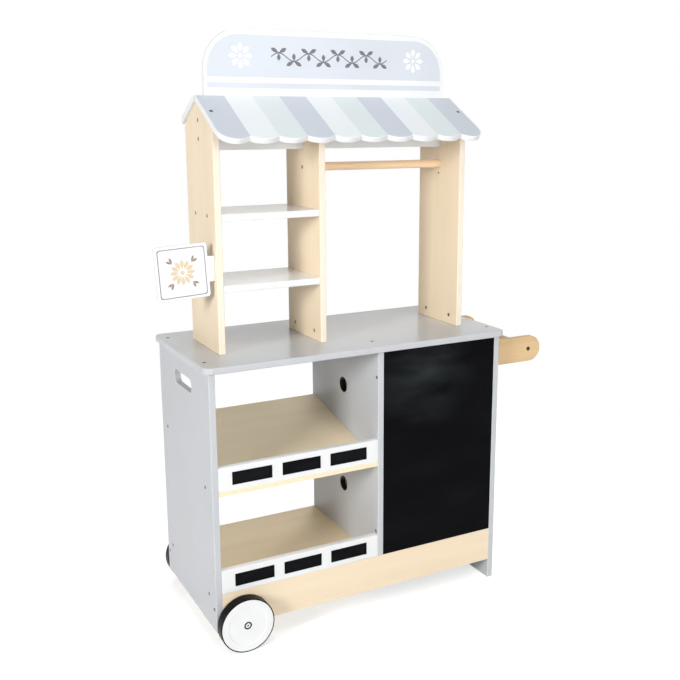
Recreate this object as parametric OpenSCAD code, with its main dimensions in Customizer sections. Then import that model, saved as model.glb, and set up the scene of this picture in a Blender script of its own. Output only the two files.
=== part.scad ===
// Toy market stall: a painted cabinet on two wheels, with a small wooden shop front standing on its counter.
// The front faces -Y, the push handle points to +X, and the floor is at zero height.

/* [Boards] */
// Thickness of every cabinet board, upright, shelf and arm
board_t = 12; // [10:0.5:14]
// Play between a tab or board and the slot it sits in
slot_play = 0.3; // [0.2:0.1:0.6]

/* [Cabinet] */
// Outer width over both end panels
cabinet_w = 600; // [560:1:660]
// Depth of the end panels
cabinet_d = 284; // [260:1:320]
// Height of the counter's upper face
counter_h = 525; // [500:1:560]
// Overhang of the counter past each end panel
counter_side = 9; // [4:0.5:14]
// Overhang of the counter past the front edges
counter_front = 10; // [4:0.5:14]
// Overhang of the counter past the back edges
counter_back = 4; // [2:0.5:10]
// Radius of the counter's corners
counter_r = 16; // [8:1:30]
// Height of the left panel's lower edge over the floor
panel_lift = 37; // [30:1:40]
// Distance from the left end to the divider's left face
divider_offset = 327; // [300:1:350]
// Height of the aprons' lower edge over the floor
apron_bottom = 41; // [38:0.5:44]
// Height of the front apron
apron_h = 68; // [64:1:76]
// Thickness of the panel that closes the right bay at the back
back_t = 6; // [4:0.5:9]

/* [Cabinet openings] */
// Overall length of the grip slot in the left panel
grip_length = 98; // [80:1:110]
// Height of the grip slot
grip_h = 25; // [20:1:32]
// Distance from the counter's upper face to the grip slot's middle
grip_drop = 58; // [50:1:70]
// Diameter of the divider's round holes
hole_d = 30; // [24:1:36]
// Distance from the counter's upper face to the upper hole
hole_high_drop = 110; // [95:1:125]
// Height of the lower hole over the floor
hole_low_z = 207; // [190:1:220]

/* [Display shelves] */
// Thickness of the display shelves
display_t = 8.5; // [7:0.5:11]
// Slope of the upper display shelf in degrees
display_slope = 12.5; // [8:0.5:15]
// Height of the upper display shelf's front upper edge
display_z = 300; // [290:1:310]
// Gap left behind the upper display shelf
display_gap = 8; // [4:0.5:14]
// Height of the lower display shelf's upper face
low_shelf_top = 105; // [100:0.5:108]
// Height of the lips at the front of the display shelves
lip_h = 44; // [38:0.5:50]
// Width of one chalk label
label_w = 75; // [60:1:85]
// Height of one chalk label
label_h = 23.5; // [18:0.5:28]
// Distance between the middles of two labels
label_pitch = 95; // [90:1:98]
// Thickness of the labels
label_t = 0.8; // [0.5:0.1:1.5]

/* [Shop front] */
// Depth of the uprights
upright_d = 145; // [130:1:160]
// Distance from the left end to the left upright
inset_left = 46; // [36:1:56]
// Distance from the right end to the right upright
inset_right = 43; // [36:1:56]
// Clear width between the left and the middle upright
goods_w = 186; // [170:1:200]
// Height of the lower goods shelf's upper face over the counter
goods_low = 122; // [110:1:134]
// Height of the upper goods shelf's upper face over the counter
goods_high = 246; // [232:1:258]
// Gap between the hanging rod and the sign board over it
rod_gap = 25; // [18:1:40]
// Diameter of the hanging rod
rod_d = 16; // [12:1:18]

/* [Roof and sign] */
// Height of the ridge over the counter
ridge_rise = 446; // [435:1:460]
// Slope of both roof panels in degrees
roof_slope = 29.5; // [26:0.5:34]
// Thickness of the roof panels
roof_t = 10; // [8:0.5:12]
// Distance from the ridge's middle to the front roof's tips
roof_front = 134; // [120:1:145]
// Overhang of the roof past the outer uprights
roof_over = 5.7; // [2:0.1:10]
// Number of stripes, each ending in a scallop
stripe_count = 10; // [8:1:12]
// Depth of the scallops
scallop_depth = 9; // [5:0.5:11]
// Radius of the front roof's lower corners
roof_r = 30; // [20:1:34]
// Height of the sign above the ridge
sign_rise = 114; // [100:1:130]
// Depth of the sign board below the ridge
sign_drop = 94; // [85:1:100]
// Radius of the sign's upper corners
sign_r = 70; // [50:1:80]

/* [Side sign] */
// Width of the side sign's plate
plate_w = 93; // [84:1:100]
// Height of the side sign's plate
plate_h = 94; // [84:1:100]
// Thickness of the side sign
plate_t = 6; // [4:0.5:8]
// Radius of the plate's corners
plate_r = 5; // [3:0.5:8]
// Gap between the plate and the upright, bridged by the tab
plate_gap = 11; // [8:0.5:16]
// Height of the tab
tab_h = 44; // [36:1:54]
// Depth of the tab inside the upright
tab_depth = 8; // [6:0.5:9]
// Height of the tab's middle over the counter
plate_rise = 153; // [150:1:165]
// Distance from the upright's front edge to the plate
plate_inset = 10; // [8:0.5:16]
// Angle that the side sign droops by in its slot
plate_droop = 3.2; // [1:0.1:4]

/* [Push handle] */
// Length of the arms outside the cabinet
arm_reach = 122; // [100:1:140]
// Height of the arms
arm_h = 52; // [44:1:58]
// Distance from the counter's upper face to the arms' middle
arm_drop = 54; // [48:1:64]
// Distance from the cabinet's front and back edges to the arms
arm_inset = 24; // [16:1:40]
// Diameter of the grip bar
bar_d = 20; // [16:1:24]
// Distance from the arms' ends to the grip bar's middle
bar_inset = 30; // [26:1:34]

/* [Wheels] */
// Outer diameter of the tyres
wheel_d = 101; // [98:1:106]
// Width of the wheels
wheel_w = 20; // [16:0.5:24]
// Thickness of the tyres
tyre_t = 2; // [2:0.5:5]
// Gap between the wheels and the aprons
wheel_gap = 4; // [3:0.5:6]
// Distance from the left end to the axles
axle_offset = 50; // [44:1:60]
// Diameter of the axle bolts
bolt_d = 6; // [5:0.5:8]
// Radial play of the wheels on the bolts
bolt_play = 0.05; // [0.03:0.01:0.08]
// Diameter of the bolt heads
head_d = 9; // [8.5:0.5:11]
// Height of the bolt heads
head_h = 4; // [3:0.5:5]
// Diameter of the recess in the wheels that the bolt heads sit in
recess_d = 14; // [13:0.5:18]
// Depth of that recess
recess_depth = 5.5; // [5:0.5:7]
// End play of the wheels
end_play = 0.4; // [0.3:0.1:0.8]
// Outer diameter of the spacers behind the wheels
spacer_d = 18; // [14:0.5:22]
// Length of bolt that shows behind the aprons
bolt_tail = 7; // [4:0.5:10]
// Diameter of the shallow dish in the wheels' faces
dish_d = 72; // [60:1:82]
// Depth of that dish
dish_depth = 1; // [0.5:0.1:2]

/* [Hidden] */
$fn = 64;
// Extra length that makes every cut pass right through
overrun = 2;
// Horizontal reach of the drooping side sign past the left panel
droop_cos = cos(plate_droop);
droop_sin = sin(plate_droop);
plate_half = (plate_w / 2 - plate_r) * droop_cos + (plate_h / 2 - plate_r) * droop_sin + plate_r;
sign_reach = (plate_gap + plate_w / 2) * droop_cos + plate_half - inset_left;
// The origin is the middle of the whole stall on the floor
left_x = sign_reach - (sign_reach + cabinet_w + arm_reach) / 2;
right_x = left_x + cabinet_w;
front_y = -cabinet_d / 2;
back_y = cabinet_d / 2;
under_counter = counter_h - board_t;
bay_left = left_x + board_t;
bay_right = right_x - board_t;
divider_left = left_x + divider_offset;
divider_right = divider_left + board_t;
bay_w = divider_left - bay_left;
apron_top = apron_bottom + apron_h;
low_shelf_under = low_shelf_top - display_t;
panel_h = under_counter - panel_lift;
// Shop front
left_upright_x = left_x + inset_left;
goods_x = left_upright_x + board_t;
middle_upright_x = goods_x + goods_w;
right_upright_x = right_x - inset_right - board_t;
window_x = middle_upright_x + board_t;
upright_front = -upright_d / 2;
ridge_z = counter_h + ridge_rise;
ridge_half = board_t / 2;
roof_under = ridge_z - roof_t / cos(roof_slope);
roof_fall = (upright_d / 2 - ridge_half) * tan(roof_slope);
shoulder_z = roof_under - roof_fall;
apex_z = roof_under + ridge_half * tan(roof_slope);
roof_x = left_upright_x - roof_over;
roof_w = right_upright_x + board_t + roof_over - roof_x;
front_length = (roof_front - ridge_half) / cos(roof_slope);
ridge_length = roof_t * tan(roof_slope);
stripe_w = roof_w / stripe_count;
scallop_r = (stripe_w * stripe_w / 4 + scallop_depth * scallop_depth) / (2 * scallop_depth);
sign_bottom = ridge_z - sign_drop;
sign_w = right_upright_x - goods_x;
sign_h = sign_drop + sign_rise;
rod_z = sign_bottom - rod_gap - rod_d / 2;
plate_y = upright_front + plate_inset;
plate_z = counter_h + plate_rise;
// Push handle and wheels
arm_z = counter_h - arm_drop;
bar_x = right_x + arm_reach - bar_inset;
bar_length = cabinet_d - 2 * (arm_inset + board_t);
axle_x = left_x + axle_offset;
axle_z = wheel_d / 2;
disc_d = wheel_d - 2 * tyre_t;
head_z = wheel_gap + wheel_w - recess_depth + end_play;

// Colours of the painted, bare and plastic pieces
paint_grey = [0.76, 0.78, 0.80];
bare_wood = [0.92, 0.85, 0.72];
bright_wood = [0.90, 0.75, 0.55];
paint_white = [0.96, 0.96, 0.96];
chalk_black = [0.10, 0.10, 0.11];
rubber_black = [0.06, 0.06, 0.06];
stripe_blue = [0.80, 0.83, 0.88];
bolt_steel = [0.70, 0.71, 0.72];

// Piece to draw, or all of them

// A flat outline with four round corners, centred
module rounded_plate(w, h, r) {
    square([w - 2 * r, h], center = true);
    square([w, h - 2 * r], center = true);
    for (sx = [-1, 1], sy = [-1, 1])
        translate([sx * (w / 2 - r), sy * (h / 2 - r)]) circle(r);
}

// Extrudes an outline drawn in Y and Z along X
module along_x(x, length) {
    translate([x, 0, 0]) rotate([90, 0, 90]) linear_extrude(length) children();
}

// Extrudes an outline drawn in X and Z backwards along Y
module along_y(y, length) {
    translate([0, y + length, 0]) rotate([90, 0, 0]) linear_extrude(length) children();
}

// Cabinet

module counter_top() {
    depth = cabinet_d + counter_front + counter_back;
    color(paint_grey)
        translate([left_x + cabinet_w / 2, (counter_back - counter_front) / 2, under_counter])
            linear_extrude(board_t) rounded_plate(cabinet_w + 2 * counter_side, depth, counter_r);
}

// The left panel is cut by a grip slot with round ends
module left_panel() {
    color(paint_grey) difference() {
        translate([left_x, front_y, panel_lift]) cube([board_t, cabinet_d, panel_h]);
        along_x(left_x - overrun, board_t + 2 * overrun) translate([0, counter_h - grip_drop]) grip_outline();
    }
}

module grip_outline() {
    straight = grip_length - grip_h;
    square([straight, grip_h], center = true);
    for (side = [-1, 1]) translate([side * straight / 2, 0]) circle(grip_h / 2);
}

// The divider stands over both aprons and has two round holes
module divider_panel() {
    color(paint_grey) along_x(divider_left, board_t) difference() {
        polygon([[front_y, apron_top], [front_y, under_counter], [back_y, under_counter],
                 [back_y, low_shelf_under], [back_y - board_t, low_shelf_under],
                 [back_y - board_t, apron_bottom], [front_y + board_t, apron_bottom],
                 [front_y + board_t, apron_top]]);
        translate([0, counter_h - hole_high_drop]) circle(hole_d / 2);
        translate([0, hole_low_z]) circle(hole_d / 2);
    }
}

module right_panel() {
    color(paint_grey) translate([bay_right, front_y, 0]) cube([board_t, cabinet_d, under_counter]);
}

module blackboard() {
    color(chalk_black) translate([divider_right, front_y, apron_top])
        cube([bay_right - divider_right, board_t, under_counter - apron_top]);
}

module back_panel() {
    color(paint_grey) translate([divider_right, back_y - back_t, low_shelf_under])
        cube([bay_right - divider_right, back_t, under_counter - low_shelf_under]);
}

// The axle bolts pass through the aprons
module front_apron() {
    color(bare_wood) difference() {
        translate([bay_left, front_y, apron_bottom]) cube([bay_right - bay_left, board_t, apron_h]);
        at_axle(-1) bolt_hole();
    }
}

module rear_apron() {
    color(bare_wood) difference() {
        translate([bay_left, back_y - board_t, apron_bottom])
            cube([bay_right - bay_left, board_t, low_shelf_under - apron_bottom]);
        at_axle(1) bolt_hole();
    }
}

module bolt_hole() {
    translate([0, 0, -board_t - overrun]) cylinder(h = board_t + 2 * overrun, d = bolt_d);
}

// Display shelves

// The upper display shelf slopes down to the front and has a plumb front edge
module upper_display_shelf() {
    run = cabinet_d - display_gap;
    drop = display_t / cos(display_slope);
    rise = run * tan(display_slope);
    color(bare_wood) along_x(bay_left, bay_w)
        polygon([[front_y, display_z - drop], [front_y + run, display_z + rise - drop],
                 [front_y + run, display_z + rise], [front_y, display_z]]);
}

// The lower display shelf lies level behind the front apron and on the rear one
module lower_display_shelf() {
    color(bare_wood) translate([bay_left, front_y + board_t, low_shelf_under])
        cube([bay_w, cabinet_d - board_t, display_t]);
}

// The upper lip's foot is cut to the shelf's slope
module upper_shelf_lip() {
    color(paint_white) along_x(bay_left, bay_w)
        polygon([[front_y, display_z], [front_y + board_t, display_z + board_t * tan(display_slope)],
                 [front_y + board_t, display_z + lip_h], [front_y, display_z + lip_h]]);
}

module lower_shelf_lip() {
    color(paint_white) translate([bay_left, front_y, apron_top]) cube([bay_w, board_t, lip_h]);
}

module upper_chalk_labels() {
    color(chalk_black) label_row(display_z);
}

module lower_chalk_labels() {
    color(chalk_black) label_row(apron_top);
}

module label_row(foot_z) {
    for (step = [-1, 0, 1])
        translate([bay_left + bay_w / 2 + step * label_pitch - label_w / 2, front_y - label_t,
                   foot_z + (lip_h - label_h) / 2])
            cube([label_w, label_t, label_h]);
}

// Shop front

// An upright is a board with a gable top under the roof
module upright(x) {
    along_x(x, board_t)
        polygon([[upright_front, counter_h], [upright_d / 2, counter_h], [upright_d / 2, shoulder_z],
                 [0, apex_z], [upright_front, shoulder_z]]);
}

// The left upright has a slot for the side sign's tab
module left_upright() {
    slot_h = tab_h + 2 * (slot_play + board_t * droop_sin);
    color(bare_wood) difference() {
        upright(left_upright_x);
        translate([left_upright_x - overrun, plate_y - slot_play, plate_z - slot_h / 2])
            cube([board_t + 2 * overrun, plate_t + 2 * slot_play, slot_h]);
    }
}

// The middle upright is slotted from the top, over the sign board's lower half
module middle_upright() {
    color(bare_wood) difference() {
        upright(middle_upright_x);
        translate([middle_upright_x - overrun, -ridge_half - slot_play, sign_bottom])
            cube([board_t + 2 * overrun, board_t + 2 * slot_play, sign_drop]);
    }
}

module right_upright() {
    color(bare_wood) upright(right_upright_x);
}

module goods_shelf(rise) {
    translate([goods_x, upright_front, counter_h + rise - board_t]) cube([goods_w, upright_d, board_t]);
}

module upper_goods_shelf() {
    color(paint_white) goods_shelf(goods_high);
}

module lower_goods_shelf() {
    color(paint_white) goods_shelf(goods_low);
}

module hanging_rod() {
    color(bright_wood) translate([window_x, 0, rod_z])
        rotate([0, 90, 0]) cylinder(h = right_upright_x - window_x, d = rod_d);
}

// Roof and sign

// The sign board runs from under the roof, between the roof panels, to the round-cornered sign on top
module sign_board() {
    color(paint_white) along_y(-ridge_half, board_t) translate([goods_x, sign_bottom]) {
        square([sign_w, sign_h - sign_r]);
        translate([sign_r, 0]) square([sign_w - 2 * sign_r, sign_h]);
        for (x = [sign_r, sign_w - sign_r]) translate([x, sign_h - sign_r]) circle(sign_r);
    }
}

// The front roof's lower edge: one scallop to each stripe, inside round corners
module scalloped_outline() {
    intersection() {
        union() {
            translate([0, scallop_r - front_length])
                square([roof_w, front_length - scallop_r + ridge_length]);
            for (stripe = [0 : stripe_count - 1])
                translate([(stripe + 1 / 2) * stripe_w, scallop_r - front_length]) circle(scallop_r);
        }
        union() {
            translate([0, roof_r - front_length]) square([roof_w, front_length - roof_r + ridge_length]);
            translate([roof_r, -front_length]) square([roof_w - 2 * roof_r, front_length]);
            for (x = [roof_r, roof_w - roof_r]) translate([x, roof_r - front_length]) circle(roof_r);
        }
    }
}

// The front roof lies on the slope and is cut plumb where it meets the sign board
module front_roof() {
    color(stripe_blue) difference() {
        translate([roof_x, -ridge_half, ridge_z]) rotate([roof_slope, 0, 0])
            translate([0, 0, -roof_t]) linear_extrude(roof_t) scalloped_outline();
        translate([roof_x - overrun, -ridge_half, roof_under - overrun])
            cube([roof_w + 2 * overrun, board_t, board_t + roof_t + 2 * overrun]);
    }
}

// The back roof is short and ends plumb with the uprights
module back_roof() {
    color(stripe_blue) along_x(roof_x, roof_w)
        polygon([[ridge_half, roof_under], [upright_d / 2, shoulder_z],
                 [upright_d / 2, ridge_z - roof_fall], [ridge_half, ridge_z]]);
}

// The side sign is a plate with a tab, drooping a little in the upright's slot
module side_sign() {
    tab_length = plate_gap + plate_r + tab_depth;
    color(paint_white) translate([left_upright_x, 0, plate_z]) rotate([0, -plate_droop, 0])
        along_y(plate_y, plate_t) {
            translate([-plate_gap - plate_w / 2, 0]) rounded_plate(plate_w, plate_h, plate_r);
            translate([-plate_gap - plate_r, -tab_h / 2]) square([tab_length, tab_h]);
        }
}

// Push handle

module handle_arm(y) {
    straight = arm_reach - arm_h / 2;
    along_y(y, board_t) translate([right_x, arm_z]) {
        translate([0, -arm_h / 2]) square([straight, arm_h]);
        translate([straight, 0]) circle(arm_h / 2);
    }
}

module front_handle_arm() {
    color(bright_wood) handle_arm(front_y + arm_inset);
}

module rear_handle_arm() {
    color(bright_wood) handle_arm(back_y - arm_inset - board_t);
}

module handle_bar() {
    color(bright_wood) translate([bar_x, bar_length / 2, arm_z]) rotate([90, 0, 0])
        cylinder(h = bar_length, d = bar_d);
}

// Wheels

// Moves to an axle, with Z pointing out of the cabinet: side -1 is the front and 1 the rear
module at_axle(side) {
    translate([axle_x, side * cabinet_d / 2, axle_z]) rotate([-side * 90, 0, 0]) children();
}

module tyre(side) {
    at_axle(side) translate([0, 0, wheel_gap]) difference() {
        cylinder(h = wheel_w, d = wheel_d);
        translate([0, 0, -overrun]) cylinder(h = wheel_w + 2 * overrun, d = disc_d);
    }
}

// The disc is bored for the bolt and has a shallow dish and a recess for the bolt's head in its outer face
module wheel_disc(side) {
    at_axle(side) translate([0, 0, wheel_gap]) difference() {
        cylinder(h = wheel_w, d = disc_d);
        translate([0, 0, wheel_w - dish_depth]) cylinder(h = dish_depth + overrun, d = dish_d);
        translate([0, 0, wheel_w - recess_depth]) cylinder(h = recess_depth + overrun, d = recess_d);
        translate([0, 0, -overrun]) cylinder(h = wheel_w + 2 * overrun, d = bolt_d + 2 * bolt_play);
    }
}

module axle_bolt(side) {
    at_axle(side) {
        translate([0, 0, -board_t - bolt_tail]) cylinder(h = board_t + bolt_tail + head_z, d = bolt_d);
        translate([0, 0, head_z]) cylinder(h = head_h, d = head_d);
    }
}

module spacer(side) {
    at_axle(side) difference() {
        cylinder(h = wheel_gap - end_play, d = spacer_d);
        translate([0, 0, -overrun]) cylinder(h = wheel_gap + 2 * overrun, d = bolt_d);
    }
}

module front_tyre() { color(rubber_black) tyre(-1); }
module front_wheel_disc() { color(paint_white) wheel_disc(-1); }
module front_axle_bolt() { color(bolt_steel) axle_bolt(-1); }
module front_spacer() { color(bolt_steel) spacer(-1); }
module rear_tyre() { color(rubber_black) tyre(1); }
module rear_wheel_disc() { color(paint_white) wheel_disc(1); }
module rear_axle_bolt() { color(bolt_steel) axle_bolt(1); }
module rear_spacer() { color(bolt_steel) spacer(1); }

counter_top();
left_panel();
divider_panel();
right_panel();
blackboard();
back_panel();
front_apron();
rear_apron();
upper_display_shelf();
lower_display_shelf();
upper_shelf_lip();
lower_shelf_lip();
upper_chalk_labels();
lower_chalk_labels();
left_upright();
middle_upright();
right_upright();
upper_goods_shelf();
lower_goods_shelf();
hanging_rod();
sign_board();
front_roof();
back_roof();
side_sign();
front_handle_arm();
rear_handle_arm();
handle_bar();
front_tyre();
front_wheel_disc();
front_axle_bolt();
front_spacer();
rear_tyre();
rear_wheel_disc();
rear_axle_bolt();
rear_spacer();
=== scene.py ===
import math

import bmesh
import bpy
from mathutils import Matrix, Vector


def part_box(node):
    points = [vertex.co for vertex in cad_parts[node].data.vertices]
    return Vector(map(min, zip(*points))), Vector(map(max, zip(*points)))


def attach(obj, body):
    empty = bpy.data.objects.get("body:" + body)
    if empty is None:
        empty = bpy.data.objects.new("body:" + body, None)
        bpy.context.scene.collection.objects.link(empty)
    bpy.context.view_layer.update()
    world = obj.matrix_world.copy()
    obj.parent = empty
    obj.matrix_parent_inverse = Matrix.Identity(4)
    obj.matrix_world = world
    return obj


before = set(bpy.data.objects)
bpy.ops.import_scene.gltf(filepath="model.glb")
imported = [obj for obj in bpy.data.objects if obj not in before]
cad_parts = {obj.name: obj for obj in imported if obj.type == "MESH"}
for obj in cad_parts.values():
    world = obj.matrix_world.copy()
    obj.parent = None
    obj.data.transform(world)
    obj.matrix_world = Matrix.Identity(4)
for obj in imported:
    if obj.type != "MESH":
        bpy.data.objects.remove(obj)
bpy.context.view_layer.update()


# Cabinet boards: the counter top, two end panels, the divider and the back of the closed bay.
# They are fibreboard sprayed light grey, shinier on the counter, and screwed together edge to edge.
# Sanding has eased their edges, where the paint is thin and pale, the paleness partly a painted highlight
# along them, and the spray has left a fine peel.
MM = 0.001
CABINET_GREY = (0.55, 0.566, 0.59, 1.0)
# The paler edge colour stands for thin paint and, in part, for a painted highlight along the eased edges.
CABINET_WORN_LIT_EDGE = (0.80, 0.81, 0.825, 1.0)
# Raw fibreboard brown for the divider's hole walls, darkened to near black as painted shade inside the
# holes.
RAW_BOARD_IN_SHADE = (0.03, 0.018, 0.011, 1.0)
SATIN_DULLNESS, COUNTER_DULLNESS = 0.39, 0.2
DULLNESS_SPECKS = 0.03
CLOUD_SCALE, SPECK_SCALE, PEEL_SCALE = 7.0, 210.0, 620.0
PEEL_HEIGHT = 0.004 * MM
PALE_EDGE_REACH, PALE_EDGE_LEAST = 3.0 * MM, 0.4
EDGE_BAND_STARTS, EDGE_BAND_FULL = 0.985, 0.80
NOISE_MIDDLE = (0.3, 0.7)
NOISE_PATCHES = (0.35, 0.65)
BOARD_EASING, COUNTER_EASING = 1.2 * MM, 2.5 * MM
EASING_STEPS = 3
WELD_GAP = 0.01 * MM
FLAT_WITHIN, EDGE_OVER = math.radians(1), math.radians(30)
HOLE_HEIGHTS = (415 * MM, 207 * MM)
HOLE_R = 15.4 * MM
SKIN_GIVES = [("Colour", "Color"), ("Roughness", "Float"), ("Height", "Float")]


def add(tree, kind, inputs=None, **settings):
    """Puts a shader node in a tree, sets its properties, and fixes or links its inputs."""
    node = tree.nodes.new("ShaderNode" + kind)
    for name, value in settings.items():
        setattr(node, name, value)
    for socket, value in (inputs or {}).items():
        if isinstance(value, bpy.types.NodeSocket):
            tree.links.new(value, node.inputs[socket])
        else:
            node.inputs[socket].default_value = value
    return node


def calc(tree, way, *values):
    """The result of a sum, product or comparison of values in a shader."""
    return add(tree, "Math", dict(enumerate(values)), operation=way).outputs[0]


def joined(tree, way, first, second):
    """The vector that two others make, such as their product."""
    return add(tree, "VectorMath", {0: first, 1: second}, operation=way).outputs[0]


def gauged(tree, way, first, second):
    """The number that two vectors make, such as the distance between them."""
    return add(tree, "VectorMath", {0: first, 1: second}, operation=way).outputs["Value"]


def spread(tree, value, low, high, to_low, to_high):
    """A value moved from one range to another and held within it."""
    ends = {"From Min": low, "From Max": high, "To Min": to_low, "To Max": to_high}
    return add(tree, "MapRange", {"Value": value, **ends}).outputs[0]


def mixed(tree, share, first, second):
    """A colour between two others."""
    return add(tree, "Mix", {0: share, 6: first, 7: second}, data_type="RGBA").outputs[2]


def own_place(tree):
    """The place of each point on the stall, in metres."""
    return add(tree, "TexCoord").outputs["Object"]


def mottle(tree, place, scale=1.0, detail=2.0):
    """Cloudy noise over a surface, from 0 to 1."""
    return add(tree, "TexNoise", {"Vector": place, "Scale": scale, "Detail": detail}).outputs[0]


def new_group(name, takes, gives):
    """An empty shader node group with named sockets, with what it takes in and puts out."""
    group = bpy.data.node_groups.new(name, "ShaderNodeTree")
    for socket, kind, usual in takes:
        made = group.interface.new_socket(socket, in_out="INPUT", socket_type="NodeSocket" + kind)
        made.default_value = usual
    for socket, kind in gives:
        group.interface.new_socket(socket, in_out="OUTPUT", socket_type="NodeSocket" + kind)
    return group, group.nodes.new("NodeGroupInput").outputs, group.nodes.new("NodeGroupOutput").inputs


def edge_band_mask():
    """A mask that is 1 along the outer edges of a piece, where hands and sanding wear it and the grey paint
    gets a painted highlight.
    """
    group, takes, gives = new_group("edge_band_mask", [("Reach", "Float", 2 * MM)], [("Mask", "Float")])
    turned = add(group, "Bevel", {"Radius": takes["Reach"]}, samples=4).outputs[0]
    facing = add(group, "NewGeometry").outputs["Normal"]
    match = gauged(group, "DOT_PRODUCT", turned, facing)
    group.links.new(spread(group, match, EDGE_BAND_STARTS, EDGE_BAND_FULL, 0.0, 1.0), gives["Mask"])
    return group


def sprayed_paint(edges):
    """Sprayed paint: cloudy tone, specks in the gloss, a fine peel, and paler edges for thinner paint and a
    painted highlight.
    """
    group, takes, gives = new_group(
        "sprayed_paint",
        [
            ("Colour", "Color", CABINET_GREY),
            ("Edge Colour", "Color", CABINET_WORN_LIT_EDGE),
            ("Unevenness", "Float", 0.04),
            ("Dullness", "Float", SATIN_DULLNESS),
        ],
        SKIN_GIVES,
    )
    place = own_place(group)
    cloud = mottle(group, place, CLOUD_SCALE, 3.0)
    speck = mottle(group, place, SPECK_SCALE)
    darkest = calc(group, "SUBTRACT", 1.0, takes["Unevenness"])
    tone = spread(group, cloud, *NOISE_MIDDLE, darkest, 1.0)
    even = add(group, "VectorMath", {0: takes["Colour"], "Scale": tone}, operation="SCALE").outputs[0]
    edge_band = add(group, "Group", {"Reach": PALE_EDGE_REACH}, node_tree=edges).outputs["Mask"]
    # Paler edges for thin paint, and on the grey boards a painted highlight too.
    thin = calc(group, "MULTIPLY", edge_band, spread(group, speck, *NOISE_PATCHES, PALE_EDGE_LEAST, 1.0))
    change = spread(group, speck, *NOISE_MIDDLE, -DULLNESS_SPECKS, DULLNESS_SPECKS)
    group.links.new(mixed(group, thin, even, takes["Edge Colour"]), gives["Colour"])
    group.links.new(calc(group, "ADD", takes["Dullness"], change), gives["Roughness"])
    group.links.new(mottle(group, place, PEEL_SCALE, 1.0), gives["Height"])
    return group


def coat(name, group, values, relief, **plain):
    """A material whose colour, roughness and relief come from a shader group."""
    material = bpy.data.materials.new(name)
    material.use_nodes = True
    tree = material.node_tree
    shader = tree.nodes["Principled BSDF"]
    skin = add(tree, "Group", values, node_tree=group, name="skin")
    bump = add(tree, "Bump", {"Distance": relief, "Height": skin.outputs["Height"]})
    tree.links.new(skin.outputs["Colour"], shader.inputs["Base Color"])
    tree.links.new(skin.outputs["Roughness"], shader.inputs["Roughness"])
    tree.links.new(bump.outputs[0], shader.inputs["Normal"])
    for socket, value in plain.items():
        shader.inputs[socket.replace("_", " ")].default_value = value
    return material


def repaint(material, mask, colour, edge_colour, other_colour):
    """Gives the masked part of a sprayed material another colour."""
    tree = material.node_tree
    skin = tree.nodes["skin"]
    tree.links.new(mixed(tree, mask, colour, other_colour), skin.inputs["Colour"])
    tree.links.new(mixed(tree, mask, edge_colour, other_colour), skin.inputs["Edge Colour"])


def dress(material, *pieces):
    """Gives carried-over pieces a material."""
    for piece in pieces:
        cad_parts[piece].material_slots[0].material = material


def ease(width, *pieces):
    """Rounds over the edges of carried-over boards, as sanding does."""
    for piece in pieces:
        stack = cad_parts[piece].modifiers
        weld = stack.new("weld", "WELD")
        weld.merge_threshold = WELD_GAP
        flats = stack.new("flats", "DECIMATE")
        flats.decimate_type = "DISSOLVE"
        flats.angle_limit = FLAT_WITHIN
        rounding = stack.new("rounding", "BEVEL")
        rounding.width = width
        rounding.segments = EASING_STEPS
        rounding.limit_method = "ANGLE"
        rounding.angle_limit = EDGE_OVER
        rounding.loop_slide = False
        stack.new("shading", "WEIGHTED_NORMAL")


edge_band_group = edge_band_mask()
paint_skin = sprayed_paint(edge_band_group)


def bored_panel_paint():
    """The grey paint of the divider, with the walls of its two holes raw fibreboard brown, darkened almost
    to black as painted shade.
    """
    material = coat("grey_paint_round_holes", paint_skin, {}, PEEL_HEIGHT)
    tree = material.node_tree
    flat = joined(tree, "MULTIPLY", own_place(tree), (0, 1, 1))
    inside = 0.0
    for height in HOLE_HEIGHTS:
        away = gauged(tree, "DISTANCE", flat, (0, 0, height))
        inside = calc(tree, "MAXIMUM", inside, calc(tree, "LESS_THAN", away, HOLE_R))
    # The hole walls take the raw board colour, darkened as painted shade.
    repaint(material, inside, CABINET_GREY, CABINET_WORN_LIT_EDGE, RAW_BOARD_IN_SHADE)
    return material


grey_paint = coat("satin_grey_paint", paint_skin, {}, PEEL_HEIGHT)
counter_paint = coat("polished_grey_paint", paint_skin, {"Dullness": COUNTER_DULLNESS}, PEEL_HEIGHT)
dress(grey_paint, "left_panel", "right_panel", "back_panel")
dress(bored_panel_paint(), "divider_panel")
dress(counter_paint, "counter_top")
ease(BOARD_EASING, "left_panel", "divider_panel", "right_panel", "back_panel")
ease(COUNTER_EASING, "counter_top")


# Blackboard: the panel in front of the closed bay, fibreboard with matt black chalk paint.
# It is let in between the divider and the end panel and screwed through their edges.
# Wiping has left faint pale smears, most of them towards its upper left.
CHALK_BLACK = (0.0025, 0.0024, 0.0035, 1.0)
CHALK_DUST = (0.040, 0.048, 0.050, 1.0)
SMEAR_TURN, SMEAR_SCALE = (0, -0.7, 0), (7, 7, 20)
SMEAR_RANGE = (0.4, 0.75)
TOOTH_SCALE, TOOTH_HEIGHT = 900.0, 0.05 * MM
CHALK_ROUGHNESS = (0.72, 0.86)
BLACKBOARD_GLOSS = 0.06
BLACKBOARD_EASING = 0.8 * MM
WIPED_SPOT = (95 * MM, -130 * MM, 465 * MM)
WIPED_NEAR, WIPED_FAR = 20 * MM, 125 * MM
MOST_SMEARS, LEAST_SMEARS = 0.66, 0.06


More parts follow.
